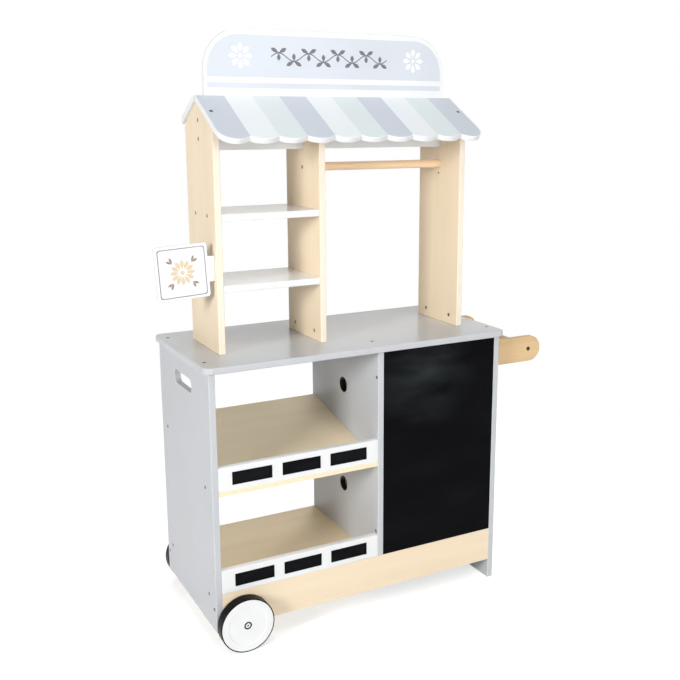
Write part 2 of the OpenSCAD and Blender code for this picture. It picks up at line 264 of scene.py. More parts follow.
def chalk_paint():
    """Matt black chalk paint with wiped smears of dust and a fine tooth."""
    group, takes, gives = new_group("chalk_paint", [("Smears", "Float", 0.3)], SKIN_GIVES)
    place = own_place(group)
    strokes = {"Vector": place, "Rotation": SMEAR_TURN, "Scale": SMEAR_SCALE}
    wiped = add(group, "Mapping", strokes).outputs[0]
    smear = spread(group, mottle(group, wiped, detail=4.0), *SMEAR_RANGE, 0.0, 1.0)
    tooth = mottle(group, place, TOOTH_SCALE)
    dust = calc(group, "MULTIPLY", smear, takes["Smears"])
    group.links.new(mixed(group, dust, CHALK_BLACK, CHALK_DUST), gives["Colour"])
    group.links.new(spread(group, tooth, *NOISE_MIDDLE, *CHALK_ROUGHNESS), gives["Roughness"])
    group.links.new(tooth, gives["Height"])
    return group


chalk_skin = chalk_paint()


def wiped_chalkboard():
    """The blackboard's paint, with most of the dust round the place that was wiped."""
    material = coat("chalkboard_black", chalk_skin, {}, TOOTH_HEIGHT, Specular_IOR_Level=BLACKBOARD_GLOSS)
    tree = material.node_tree
    away = gauged(tree, "DISTANCE", own_place(tree), WIPED_SPOT)
    smears = spread(tree, away, WIPED_NEAR, WIPED_FAR, MOST_SMEARS, LEAST_SMEARS)
    tree.links.new(smears, tree.nodes["skin"].inputs["Smears"])
    return material


dress(wiped_chalkboard(), "blackboard")
ease(BLACKBOARD_EASING, "blackboard")


# Aprons and display shelves: plywood under a thin clear varnish, with the grain running lengthwise.
# The aprons stiffen the cabinet between its end panels and carry the axle bolts.
# The shelves, the upper one sloping forward and the lower one level, have a yellower veneer.
PLY_PALE = (0.89, 0.75, 0.555, 1.0)
PLY_DARK = (0.74, 0.565, 0.37, 1.0)
PLY_EDGE = (0.89, 0.81, 0.68, 1.0)
VENEER_PALE = (0.95, 0.81, 0.58, 1.0)
VENEER_DARK = (0.82, 0.64, 0.41, 1.0)
ALONG_X = (0.0, 0.0, 0.0)
ALONG_Y = (0.0, 0.0, -math.pi / 2)
ALONG_Z = (0.0, math.pi / 2, 0.0)
FIGURE_WAVES, FIBRE_WAVES, PORE_WAVES = (1.5, 34.0), (14.0, 520.0), (70.0, 1000.0)
FIGURE_SHARE, FIBRE_SHARE = 0.7, 0.3
STREAK_RANGE, STREAK_STRENGTH = (0.32, 0.68), 2.0
PORE_RANGE, PORE_STRENGTH = (0.62, 0.72), 0.5
VARNISH_ROUGHNESS = (0.40, 0.54)
FIBRE_HEIGHT = 0.03 * MM
WOOD_EDGE_REACH = 1.5 * MM
APRON_FIGURE, SHELF_FIGURE = 0.18, 0.2
PLY_EASING = 1.0 * MM
APRONS = ("front_apron", "rear_apron")
DISPLAY_SHELVES = ("upper_display_shelf", "lower_display_shelf")


def stretched(tree, place, along, across):
    """Places for a noise with so many waves to the metre along the grain and across it."""
    return joined(tree, "MULTIPLY", place, (along, across, across))


def wood_grain(edges):
    """Varnished wood: broad figure, fine fibres and short pores along one direction, paler at its edges."""
    group, takes, gives = new_group(
        "wood_grain",
        [
            ("Pale", "Color", PLY_PALE),
            ("Dark", "Color", PLY_DARK),
            ("Edge Colour", "Color", PLY_EDGE),
            ("Turn", "Vector", ALONG_X),
            ("Figure", "Float", 0.3),
        ],
        SKIN_GIVES,
    )
    grain_turn = {"Vector": own_place(group), "Rotation": takes["Turn"]}
    lengthwise = add(group, "Mapping", grain_turn).outputs[0]
    figure = mottle(group, stretched(group, lengthwise, *FIGURE_WAVES), detail=4.0)
    fibre = mottle(group, stretched(group, lengthwise, *FIBRE_WAVES), detail=3.0)
    pores = mottle(group, stretched(group, lengthwise, *PORE_WAVES))
    pores = spread(group, pores, *PORE_RANGE, 0.0, 1.0)
    broad = calc(group, "MULTIPLY", figure, FIGURE_SHARE)
    streaks = calc(group, "ADD", broad, calc(group, "MULTIPLY", fibre, FIBRE_SHARE))
    streaks = spread(group, streaks, *STREAK_RANGE, 0.0, STREAK_STRENGTH)
    streak_shade = calc(group, "MULTIPLY", streaks, takes["Figure"])
    pore_shade = calc(group, "MULTIPLY", pores, calc(group, "MULTIPLY", takes["Figure"], PORE_STRENGTH))
    shade = calc(group, "ADD", streak_shade, pore_shade)
    wood = mixed(group, shade, takes["Pale"], takes["Dark"])
    edge_band = add(group, "Group", {"Reach": WOOD_EDGE_REACH}, node_tree=edges).outputs["Mask"]
    group.links.new(mixed(group, edge_band, wood, takes["Edge Colour"]), gives["Colour"])
    group.links.new(spread(group, fibre, *NOISE_MIDDLE, *VARNISH_ROUGHNESS), gives["Roughness"])
    group.links.new(calc(group, "SUBTRACT", fibre, pores), gives["Height"])
    return group


grain = wood_grain(edge_band_group)
veneer_values = {"Pale": VENEER_PALE, "Dark": VENEER_DARK, "Figure": SHELF_FIGURE}
ply_lengthwise = coat("plywood_lengthwise", grain, {"Figure": APRON_FIGURE}, FIBRE_HEIGHT)
shelf_veneer = coat("shelf_veneer", grain, veneer_values, FIBRE_HEIGHT)
dress(ply_lengthwise, *APRONS)
dress(shelf_veneer, *DISPLAY_SHELVES)
ease(PLY_EASING, *APRONS, *DISPLAY_SHELVES)


# Shelf lips and chalk labels: white sprayed strips that keep the goods on the display shelves.
# Each carries a row of small black chalk labels, thin plates glued to its front.
WHITE = (0.83, 0.838, 0.842, 1.0)
WHITE_EDGE = (0.86, 0.862, 0.864, 1.0)
WHITE_UNEVENNESS = 0.02
LABEL_SMEARS, LABEL_GLOSS = 0.2, 0.08
LABEL_EASING = 0.25 * MM
LIPS = ("upper_shelf_lip", "lower_shelf_lip")
LABELS = ("upper_chalk_labels", "lower_chalk_labels")

white_values = {"Colour": WHITE, "Edge Colour": WHITE_EDGE, "Unevenness": WHITE_UNEVENNESS}
label_values = {"Smears": LABEL_SMEARS}
white_paint = coat("satin_white_paint", paint_skin, white_values, PEEL_HEIGHT)
label_black = coat("label_black", chalk_skin, label_values, TOOTH_HEIGHT, Specular_IOR_Level=LABEL_GLOSS)
dress(white_paint, *LIPS)
dress(label_black, *LABELS)
ease(BOARD_EASING, *LIPS)
ease(LABEL_EASING, *LABELS)


# Uprights: three plywood boards that stand on the counter and carry the roof, the sign and the shelves.
# Their grain runs upwards. Bolts from under the counter hold them, drawn into barrel nuts.
# The cut edges of the plywood are paler than its veneered faces.
UPRIGHTS = ("left_upright", "middle_upright", "right_upright")
UPRIGHT_FIGURE = 0.16
FACES_FORWARD = 0.7


def upright_plywood():
    """Plywood with upward grain, and paler on the cut edges that look forwards and backwards."""
    upright_values = {"Turn": ALONG_Z, "Figure": UPRIGHT_FIGURE}
    material = coat("plywood_upright", grain, upright_values, FIBRE_HEIGHT)
    tree = material.node_tree
    facing = add(tree, "SeparateXYZ", {0: add(tree, "TexCoord").outputs["Normal"]}).outputs["Y"]
    cut = calc(tree, "GREATER_THAN", calc(tree, "ABSOLUTE", facing), FACES_FORWARD)
    skin = tree.nodes["skin"]
    tree.links.new(mixed(tree, cut, PLY_PALE, PLY_EDGE), skin.inputs["Pale"])
    tree.links.new(mixed(tree, cut, PLY_DARK, PLY_PALE), skin.inputs["Dark"])
    return material


dress(upright_plywood(), *UPRIGHTS)
ease(BOARD_EASING, *UPRIGHTS)


# Goods shelves: two white boards between the left and middle uprights, sprayed a little shinier.
# Screws through the uprights hold them, two at each end.
GOODS_SHELVES = ("upper_goods_shelf", "lower_goods_shelf")
SHELF_DULLNESS = 0.22
shelf_values = {**white_values, "Dullness": SHELF_DULLNESS}
dress(coat("polished_white_paint", paint_skin, shelf_values, PEEL_HEIGHT), *GOODS_SHELVES)
ease(BOARD_EASING, *GOODS_SHELVES)


# Hanging rod: a turned pine dowel under the sign board, for hooks and scales.
# One screw through each upright holds it.
PINE_PALE = (0.92, 0.69, 0.47, 1.0)
PINE_DARK = (0.78, 0.52, 0.28, 1.0)
PINE_EDGE = (0.90, 0.68, 0.46, 1.0)
PINE_FIGURE = 0.3
pine_values = {"Pale": PINE_PALE, "Dark": PINE_DARK, "Edge Colour": PINE_EDGE, "Figure": PINE_FIGURE}
dress(coat("varnished_pine", grain, pine_values, FIBRE_HEIGHT), "hanging_rod")


# Roof: two white boards that lean from the sign board to the uprights, the front one scalloped.
# Three plain colours of stripe are printed on their upper faces, right up to the edges.
# The cut edges and the undersides stay white.
STRIPE_COUNT = 10
STRIPE_COLOURS = ((0.60, 0.645, 0.715, 1.0), (0.85, 0.89, 0.915, 1.0), (0.735, 0.81, 0.82, 1.0))
UPPER_FACE = 0.8
ROOF_EASING = 1.0 * MM


def striped_roof():
    """White paint with stripes across the faces that look up."""
    material = coat("striped_roof_paint", paint_skin, white_values, PEEL_HEIGHT)
    tree = material.node_tree
    low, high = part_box("front_roof")
    cycle = (high.x - low.x) / STRIPE_COUNT * len(STRIPE_COLOURS)
    coords = add(tree, "TexCoord")
    across = add(tree, "SeparateXYZ", {0: coords.outputs["Object"]}).outputs["X"]
    turns = calc(tree, "DIVIDE", calc(tree, "SUBTRACT", across, low.x), cycle)
    stripes = add(tree, "ValToRGB", {"Fac": calc(tree, "FRACT", turns)})
    stripes.color_ramp.interpolation = "CONSTANT"
    ramp = stripes.color_ramp.elements
    for i, colour in enumerate(STRIPE_COLOURS):
        stop = ramp[i] if i < len(ramp) else ramp.new(i / len(STRIPE_COLOURS))
        stop.position = i / len(STRIPE_COLOURS)
        stop.color = colour
    upward = add(tree, "SeparateXYZ", {0: coords.outputs["Normal"]}).outputs["Z"]
    printed = calc(tree, "GREATER_THAN", upward, UPPER_FACE)
    tree.links.new(mixed(tree, printed, WHITE, stripes.outputs[0]), tree.nodes["skin"].inputs["Colour"])
    return material


dress(striped_roof(), "front_roof", "back_roof")
ease(ROOF_EASING, "front_roof", "back_roof")


# Sign board: one white board with a rounded top, slotted through the middle upright over the roof.
# Its front is printed with a pale panel, a thin band and a plain garland between two flowers.
# The print is a film a tenth of a millimetre thick.
FILM = 0.12 * MM
SUNK = 0.05 * MM
PANEL_BLUE = (0.665, 0.70, 0.755, 1.0)
PRINT_GREY = (0.17, 0.17, 0.185, 1.0)
INK_UNEVENNESS = 0.05
PANEL_MARGIN = 5.2 * MM
PANEL_LOW, PANEL_HIGH = 1002.5 * MM, 1075 * MM
PANEL_CORNER = 60 * MM
BAND_LOW, BAND_HIGH = 984 * MM, 993 * MM
GARLAND_W = 236 * MM
GARLAND_WAVE = 7 * MM
GARLAND_TURNS = 4
STEPS_A_TURN = 16
STEM_W = 2.2 * MM
LEAF_LENGTH, LEAF_W = 17 * MM, 7 * MM
LEAF_LEANS = (28, 152)
SHORT_LEAF = 0.8
LEAF_POINT = 1.3
FLOWER_OFFSET = 176 * MM
PETAL_LENGTH, PETAL_W = 17 * MM, 9 * MM
PETALS = 8
HEART_GAP, HEART_SHARE, HEART_SIDES = 0.32, 0.7, 16


def arc(x, z, radius, start, end, steps):
    """Points on part of a circle, with its angles in degrees."""
    turns = [math.radians(start + (end - start) * i / steps) for i in range(steps + 1)]
    return [(x + radius * math.cos(turn), z + radius * math.sin(turn)) for turn in turns]


def circle(x, z, radius, sides):
    """Points all round a circle."""
    return arc(x, z, radius, 0, 360 - 360 / sides, sides - 1)


def corner(x, z, radius, start, steps):
    """A quarter of a circle, or a plain point where the corner isn't rounded."""
    return arc(x, z, radius, start, start + 90, steps) if radius else [(x, z)]


def rounded_panel(x0, z0, x1, z1, low_r, high_r, steps=16):
    """The outline of a panel with one radius for its lower corners and one for its upper ones."""
    outline = corner(x0 + low_r, z0 + low_r, low_r, 180, steps)
    outline += corner(x1 - low_r, z0 + low_r, low_r, 270, steps)
    outline += corner(x1 - high_r, z1 - high_r, high_r, 0, steps)
    return outline + corner(x0 + high_r, z1 - high_r, high_r, 90, steps)


def leaf(x, z, length, width, angle, steps=8):
    """The outline of a leaf or petal that grows from a point at an angle in degrees."""
    shares = [i / steps for i in range(steps + 1)]
    upper = [(s * length, width / 2 * math.sin(math.pi * s ** LEAF_POINT)) for s in shares]
    lower = [(u, -w) for u, w in reversed(upper[1:-1])]
    turn = math.radians(angle)
    c, s = math.cos(turn), math.sin(turn)
    return [(x + u * c - w * s, z + u * s + w * c) for u, w in upper + lower]


def finished(name, shape, *materials):
    """A mesh object from a closed shape, fixed to the stall."""
    bmesh.ops.recalc_face_normals(shape, faces=shape.faces)
    mesh = bpy.data.meshes.new(name)
    shape.to_mesh(mesh)
    shape.free()
    piece = bpy.data.objects.new(name, mesh)
    for material in materials:
        mesh.materials.append(material)
    bpy.context.scene.collection.objects.link(piece)
    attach(piece, "stall")
    return piece


def film(name, outlines, face_y, material, place=Matrix.Identity(4)):
    """Thin closed films on a face that looks to the front; each outline is a loop of x and z."""
    sheet = bmesh.new()
    for outline in outlines:
        back = [sheet.verts.new(place @ Vector((x, face_y + SUNK, z))) for x, z in outline]
        front = [sheet.verts.new(place @ Vector((x, face_y - FILM, z))) for x, z in outline]
        sheet.faces.new(back)
        sheet.faces.new(front)
        for i in range(len(outline)):
            sheet.faces.new((back[i - 1], back[i], front[i], front[i - 1]))
    return finished(name, sheet, material)


def print_ink(name, colour):
    """Printed ink: the same film all over, with only a faint unevenness."""
    values = {"Colour": colour, "Edge Colour": colour, "Unevenness": INK_UNEVENNESS}
    return coat(name, paint_skin, values, PEEL_HEIGHT)


def garland(x, z):
    """A waved stem with two leaves on the outer side of every bend and a shorter one inside."""
    steps = STEPS_A_TURN * GARLAND_TURNS
    phases = [2 * math.pi * GARLAND_TURNS * i / steps for i in range(steps + 1)]
    line = []
    for i, phase in enumerate(phases):
        line.append((x + GARLAND_W * (i / steps - 0.5), z + GARLAND_WAVE * math.sin(phase)))
    upper = [(u, w + STEM_W / 2) for u, w in line]
    lower = [(u, w - STEM_W / 2) for u, w in reversed(line)]
    leaves = []
    for i in range(STEPS_A_TURN // 4, steps, STEPS_A_TURN // 2):
        side = 1 if math.sin(phases[i]) > 0 else -1
        for lean in LEAF_LEANS:
            leaves.append(leaf(*line[i], LEAF_LENGTH, LEAF_W, side * lean))
        leaves.append(leaf(*line[i], LEAF_LENGTH * SHORT_LEAF, LEAF_W, -side * 90))
    return [upper + lower] + leaves


def flower(x, z, petals, length, width):
    """Petals round a point, with a bare ring between them and a round heart."""
    gap = length * HEART_GAP
    outlines = []
    for i in range(petals):
        angle = 360 * i / petals
        turn = math.radians(angle)
        outlines.append(leaf(x + gap * math.cos(turn), z + gap * math.sin(turn), length, width, angle))
    return outlines + [circle(x, z, gap * HEART_SHARE, HEART_SIDES)]


dress(white_paint, "sign_board")
ease(BOARD_EASING, "sign_board")
sign_low, sign_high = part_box("sign_board")
sign_x = (sign_low.x + sign_high.x) / 2
panel_x0, panel_x1 = sign_low.x + PANEL_MARGIN, sign_high.x - PANEL_MARGIN
panel_z = (PANEL_LOW + PANEL_HIGH) / 2
print_face = sign_low.y
blue_ink = print_ink("pale_blue_ink", PANEL_BLUE)
grey_ink = print_ink("grey_ink", PRINT_GREY)
white_ink = print_ink("white_ink", WHITE_EDGE)
sign_panel = rounded_panel(panel_x0, PANEL_LOW, panel_x1, PANEL_HIGH, 0, PANEL_CORNER)
sign_band = [(panel_x0, BAND_LOW), (panel_x1, BAND_LOW), (panel_x1, BAND_HIGH), (panel_x0, BAND_HIGH)]
flowers = []
for side in (-1, 1):
    flowers += flower(sign_x + side * FLOWER_OFFSET, panel_z, PETALS, PETAL_LENGTH, PETAL_W)
film("sign_print_panel", [sign_panel, sign_band], print_face, blue_ink)
film("sign_print_garland", garland(sign_x, panel_z), print_face - FILM, grey_ink)
film("sign_print_flowers", flowers, print_face - FILM, white_ink)


# Side sign: a small white plate that hangs beside the left upright, held by a tab in its edge.
# A thin grey line is printed round its front, with a plain rosette in the middle and four sprigs.
PLATE_TURN = math.radians(-3.2)
PLATE_PIVOT_Z = 678 * MM
PLATE_REACH = 57.5 * MM
PLATE_W, PLATE_H = 93 * MM, 94 * MM
PLATE_EASING = 0.8 * MM
KEYLINE_INSET, KEYLINE_W, KEYLINE_CORNER = 4.7 * MM, 1.5 * MM, 4.5 * MM
KEYLINE_STEPS = 6
ROSETTE_LEAVES = 12
ROSETTE_LEAF, ROSETTE_LEAF_W = 17 * MM, 7 * MM
SPRIG_COUNT, SPRIG_RING = 4, 23.75 * MM
SPRIG_LEAF, SPRIG_LEAF_W = 11.9 * MM, 4.2 * MM
SPRIG_LEANS = (-22, 22)
KEYLINE_GREY = (0.25, 0.255, 0.27, 1.0)
ROSETTE_CREAM = (0.72, 0.60, 0.42, 1.0)
ROSETTE_TAUPE = (0.33, 0.25, 0.19, 1.0)


def frame_line(name, outer, inner, face_y, material, place):
    """A thin closed film between two loops of as many points."""
    sheet = bmesh.new()
    depths = ((outer, SUNK), (outer, -FILM), (inner, -FILM), (inner, SUNK))
    loops = [[sheet.verts.new(place @ Vector((x, face_y + y, z))) for x, z in loop] for loop, y in depths]
    for near, far in zip(loops, loops[1:] + loops[:1]):
        for i in range(len(near)):
            sheet.faces.new((near[i - 1], near[i], far[i], far[i - 1]))
    return finished(name, sheet, material)


def keyline(inset):
    """One side of the printed line, at a distance from the plate's edge."""
    half_w, half_h = PLATE_W / 2 - inset, PLATE_H / 2 - inset
    return rounded_panel(-half_w, -half_h, half_w, half_h, KEYLINE_CORNER, KEYLINE_CORNER, KEYLINE_STEPS)


def sprigs():
    """Pairs of small leaves towards the plate's corners."""
    outlines = []
    for i in range(SPRIG_COUNT):
        angle = 45 + 360 * i / SPRIG_COUNT
        turn = math.radians(angle)
        spot = (SPRIG_RING * math.cos(turn), SPRIG_RING * math.sin(turn))
        for lean in SPRIG_LEANS:
            outlines.append(leaf(*spot, SPRIG_LEAF, SPRIG_LEAF_W, angle + lean))
    return outlines


dress(white_paint, "side_sign")
ease(PLATE_EASING, "side_sign")
plate_pivot = Vector((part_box("left_upright")[0].x, 0, PLATE_PIVOT_Z))
plate_turn = Matrix.Rotation(PLATE_TURN, 4, "Y")
plate_place = Matrix.Translation(plate_pivot) @ plate_turn @ Matrix.Translation((-PLATE_REACH, 0, 0))
plate_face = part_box("side_sign")[0].y
keyline_ink = print_ink("keyline_ink", KEYLINE_GREY)
cream_ink = print_ink("cream_ink", ROSETTE_CREAM)
taupe_ink = print_ink("taupe_ink", ROSETTE_TAUPE)
lines = (keyline(KEYLINE_INSET), keyline(KEYLINE_INSET + KEYLINE_W))
rosette = flower(0, 0, ROSETTE_LEAVES, ROSETTE_LEAF, ROSETTE_LEAF_W)
frame_line("side_sign_keyline", *lines, plate_face, keyline_ink, plate_place)
film("side_sign_rosette", rosette, plate_face, cream_ink, plate_place)
film("side_sign_leaves", sprigs(), plate_face, taupe_ink, plate_place)


# Push handle: two pine arms screwed to the end panel, with a turned grip bar between them.
# They are varnished a little warmer than the plywood.
ARM_PALE = (0.75, 0.54, 0.30, 1.0)
ARM_DARK = (0.57, 0.365, 0.17, 1.0)
ARM_EDGE = (0.80, 0.61, 0.38, 1.0)
ARM_EASING = 1.5 * MM
ARMS = ("front_handle_arm", "rear_handle_arm")
arm_values = {"Pale": ARM_PALE, "Dark": ARM_DARK, "Edge Colour": ARM_EDGE, "Figure": PINE_FIGURE}
dress(coat("pine_arms", grain, arm_values, FIBRE_HEIGHT), *ARMS)
dress(coat("pine_grip", grain, {**arm_values, "Turn": ALONG_Y}, FIBRE_HEIGHT), "handle_bar")
ease(ARM_EASING, *ARMS)


# Wheels: white sprayed discs with black rubber tyres, each turning on a zinc plated bolt.
# The bolt goes through a spacer into the apron, and its head lies in a recess, painted black round the bolt
# as shade.
RUBBER = (0.005, 0.0047, 0.0047, 1.0)
RUBBER_WORN = (0.016, 0.0145, 0.0135, 1.0)
RUBBER_WEAR, RUBBER_GLOSS = 0.6, 0.05
SCUFF_SCALE, SCUFF_RANGE = 60.0, (0.4, 0.7)
GRIT_SCALE, GRIT_HEIGHT = 1500.0, 0.02 * MM
RUBBER_ROUGHNESS = (0.28, 0.36)
# Painted shade: the black that fills the recess round each bolt's head.
RECESS_SHADE_BLACK = (0.006, 0.006, 0.007, 1.0)
RECESS_R = 7.2 * MM
ZINC = (0.88, 0.88, 0.89, 1.0)
ZINC_DULL = (0.66, 0.66, 0.68, 1.0)
PATCH_SCALE, MARK_SCALE, MARK_HEIGHT = 320.0, 2500.0, 0.01 * MM
PLATING_ROUGHNESS = (0.28, 0.45)
PLATING_EDGE_REACH = 0.4 * MM
WHEEL_EASING = 0.5 * MM
TYRES = ("front_tyre", "rear_tyre")
DISCS = ("front_wheel_disc", "rear_wheel_disc")


def tyre_rubber():
    """Black rubber, greyed where it rolls and a little grainy."""
    group, takes, gives = new_group("tyre_rubber", [("Wear", "Float", 0.5)], SKIN_GIVES)
    place = own_place(group)
    scuff = spread(group, mottle(group, place, SCUFF_SCALE, 4.0), *SCUFF_RANGE, 0.0, takes["Wear"])
    grit = mottle(group, place, GRIT_SCALE)
    group.links.new(mixed(group, scuff, RUBBER, RUBBER_WORN), gives["Colour"])
    group.links.new(spread(group, grit, *NOISE_MIDDLE, *RUBBER_ROUGHNESS), gives["Roughness"])
    group.links.new(grit, gives["Height"])
    return group


def zinc_plate(edges):
    """Zinc plated steel: dull patches, bright rubbed edges and fine marks."""
    group, takes, gives = new_group(
        "zinc_plate",
        [("Bright", "Color", ZINC), ("Dull", "Color", ZINC_DULL)],
        SKIN_GIVES,
    )
    place = own_place(group)
    patch = spread(group, mottle(group, place, PATCH_SCALE, 3.0), *NOISE_PATCHES, 0.0, 1.0)
    edge_band = add(group, "Group", {"Reach": PLATING_EDGE_REACH}, node_tree=edges).outputs["Mask"]
    dull = mixed(group, patch, takes["Bright"], takes["Dull"])
    group.links.new(mixed(group, edge_band, dull, takes["Bright"]), gives["Colour"])
    group.links.new(spread(group, patch, 0.0, 1.0, *PLATING_ROUGHNESS), gives["Roughness"])
    group.links.new(mottle(group, place, MARK_SCALE), gives["Height"])
    return group


def wheel_paint(wheel_x, wheel_z):
    """White paint, with painted shade in black in the recess round the bolt's head."""
    material = coat("white_wheel_paint", paint_skin, white_values, PEEL_HEIGHT)
    tree = material.node_tree
    flat = joined(tree, "MULTIPLY", own_place(tree), (1, 0, 1))
    away = gauged(tree, "DISTANCE", flat, (wheel_x, 0, wheel_z))
    # Inside the recess radius the white gives way to the black of painted shade.
    repaint(material, calc(tree, "LESS_THAN", away, RECESS_R), WHITE, WHITE_EDGE, RECESS_SHADE_BLACK)
    return material


rubber_values = {"Wear": RUBBER_WEAR}
rubber = coat("tyre_rubber", tyre_rubber(), rubber_values, GRIT_HEIGHT, Specular_IOR_Level=RUBBER_GLOSS)
zinc_skin = zinc_plate(edge_band_group)
zinc = coat("zinc_plated_steel", zinc_skin, {}, MARK_HEIGHT, Metallic=1.0)
wheel_low, wheel_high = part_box("front_tyre")
disc_white = wheel_paint((wheel_low.x + wheel_high.x) / 2, (wheel_low.z + wheel_high.z) / 2)
dress(rubber, *TYRES)
dress(disc_white, *DISCS)
dress(zinc, "front_axle_bolt", "rear_axle_bolt", "front_spacer", "rear_spacer")
ease(WHEEL_EASING, *TYRES, *DISCS)


# Screws and nuts: dark plated screws with hexagon sockets hold the boards through their faces; the shallow
# sockets are painted black as shade.
# Their heads are drawn down almost level with the wood.
# Barrel nuts show near the foot of each upright, where the bolts from below draw up.
SCREW_D, SCREW_RISE, SOCKET_D = 6.6 * MM, 0.25 * MM, 3.2 * MM
RIM_SHARE, TOP_SHARE = 0.4, 0.86
NUT_D, NUT_SOCKET_D = 6.5 * MM, 3.25 * MM
ARM_SCREW_D, ARM_SOCKET_D = 8.5 * MM, 4.25 * MM
BOLT_CAP_D, BOLT_SOCKET_D = 8.2 * MM, 3.2 * MM
PEG_HOLE_D, PEG_HOLE_SOCKET_D = 4.2 * MM, 2.94 * MM
HEAD_SIDES = 24
SCREW_DARK = (0.10, 0.088, 0.075, 1.0)
SCREW_DULL = (0.045, 0.038, 0.032, 1.0)
NUT_BROWN = (0.16, 0.11, 0.07, 1.0)
NUT_DULL = (0.09, 0.06, 0.04, 1.0)
# Painted shade: the black inside every shallow socket of the screws, nuts and bolt caps.
SOCKET_SHADE_BLACK = (0.012, 0.012, 0.013, 1.0)
PLATED = 0.6

screw_values = {"Bright": SCREW_DARK, "Dull": SCREW_DULL}
nut_values = {"Bright": NUT_BROWN, "Dull": NUT_DULL}
screw_zinc = coat("dark_screw_plate", zinc_skin, screw_values, MARK_HEIGHT, Metallic=PLATED)
nut_zinc = coat("brown_nut_plate", zinc_skin, nut_values, MARK_HEIGHT, Metallic=PLATED)
socket_painted_shade = print_ink("socket_painted_shade", SOCKET_SHADE_BLACK)


def hexagon(radius, turn):
    """The radius at an angle of a hexagon with flats at this radius."""
    return radius / math.cos((turn + math.pi / 6) % (math.pi / 3) - math.pi / 6)


def screw_head(shape, spot, outward, diameter, socket):
    """A low head with a shallow hexagon socket painted black as shade, sunk a little into the face that it
    holds.
    """
    radius = diameter / 2
    turns = [2 * math.pi * i / HEAD_SIDES for i in range(HEAD_SIDES)]
    socket_wall = [hexagon(socket / 2, turn) for turn in turns]
    rings = (
        ([radius] * HEAD_SIDES, -SUNK),
        ([radius] * HEAD_SIDES, SCREW_RISE * RIM_SHARE),
        ([radius * TOP_SHARE] * HEAD_SIDES, SCREW_RISE),
        (socket_wall, SCREW_RISE),
        (socket_wall, 0.0),
    )
    lie = Vector(outward).to_track_quat("Z", "Y").to_matrix().to_4x4()
    put = Matrix.Translation(Vector(spot)) @ lie
    made = []
    for radii, rise in rings:
        points = [(r * math.cos(turn), r * math.sin(turn), rise) for r, turn in zip(radii, turns)]
        made.append([shape.verts.new(put @ Vector(point)) for point in points])
    for near, far in zip(made, made[1:]):
        for i in range(HEAD_SIDES):
            # The socket's wall and floor take the second material, black as painted shade.
            face = shape.faces.new((near[i - 1], near[i], far[i], far[i - 1]))
            face.material_index = 1 if far is made[-1] else 0
            face.smooth = far is made[1]
    shape.faces.new(made[0])
    shape.faces.new(made[-1]).material_index = 1


def screws(name, spots, diameter=SCREW_D, socket=SOCKET_D, metal=screw_zinc):
    """Heads at a list of places and outward directions, joined in one piece."""
    shape = bmesh.new()
    for spot, outward in spots:
        screw_head(shape, spot, outward, diameter, socket)
    finished(name, shape, metal, socket_painted_shade)


LEFT, RIGHT, FRONT, BACK, UP = (-1, 0, 0), (1, 0, 0), (0, -1, 0), (0, 1, 0), (0, 0, 1)
APRON_SCREWS = [(-132.5, 79), (132.5, 79)]
SHELF_SCREWS = [(108, 348.6), (-105.5, 300), (109, 100), (-105.5, 97)]
BOARD_SCREWS = [(-136, 463), (-134, 157.5)]
SIGN_SCREWS = [(0, 929), (0, 897)]
ROD_SCREW = [(0, 844)]
GOODS_SCREWS = [(y, z) for z in (766, 641) for y in (30, -32)]
NUTS = [(41, 543), (-44, 543)]
PEG_HOLE = [(1, 825)]
COUNTER_SCREWS = [(x, y) for x in (-324.9, 2.1, 263.1) for y in (-107, 103)]


def on_side(piece, outward, spots):
    """Places on a board's left or right face, from their y and z in millimetres."""
    low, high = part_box(piece)
    x = low.x if outward == LEFT else high.x
    return [((x, y * MM, z * MM), outward) for y, z in spots]


counter_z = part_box("counter_top")[1].z
cabinet_spots = on_side("left_panel", LEFT, APRON_SCREWS + SHELF_SCREWS)
cabinet_spots += on_side("right_panel", RIGHT, APRON_SCREWS + BOARD_SCREWS)
cabinet_spots += on_side("divider_panel", LEFT, BOARD_SCREWS)
cabinet_spots += [((x * MM, y * MM, counter_z), UP) for x, y in COUNTER_SCREWS]
screws("cabinet_screws", cabinet_spots)

upright_spots = on_side("left_upright", LEFT, SIGN_SCREWS + GOODS_SCREWS)
upright_spots += on_side("right_upright", RIGHT, SIGN_SCREWS + ROD_SCREW)
upright_spots += on_side("middle_upright", RIGHT, GOODS_SCREWS)
upright_spots += on_side("middle_upright", LEFT, ROD_SCREW)
screws("upright_screws", upright_spots)

nut_spots = on_side("left_upright", RIGHT, NUTS)
nut_spots += on_side("middle_upright", LEFT, NUTS)
nut_spots += on_side("right_upright", LEFT, NUTS)
peg_hole_spots = on_side("right_upright", LEFT, PEG_HOLE)
screws("barrel_nuts", nut_spots, NUT_D, NUT_SOCKET_D, nut_zinc)
# A dark disc with a black middle on the right upright, under the rod's end, is the painted shade of a peg
# hole.
screws("peg_hole_shade", peg_hole_spots, PEG_HOLE_D, PEG_HOLE_SOCKET_D)

ROOF_SLOPE = math.radians(29.5)
ROOF_SCREW_X = (-279 * MM, 220.5 * MM)
ROOF_SCREW_Y = 54 * MM
ridge_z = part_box("front_roof")[1].z
roof_screw_z = ridge_z - (ROOF_SCREW_Y + print_face) * math.tan(ROOF_SLOPE)
roof_spots = []
for x in ROOF_SCREW_X:
    for side in (-1, 1):
        square_off = (0, side * math.sin(ROOF_SLOPE), math.cos(ROOF_SLOPE))
        roof_spots.append(((x, side * ROOF_SCREW_Y, roof_screw_z), square_off))
screws("roof_screws", roof_spots)

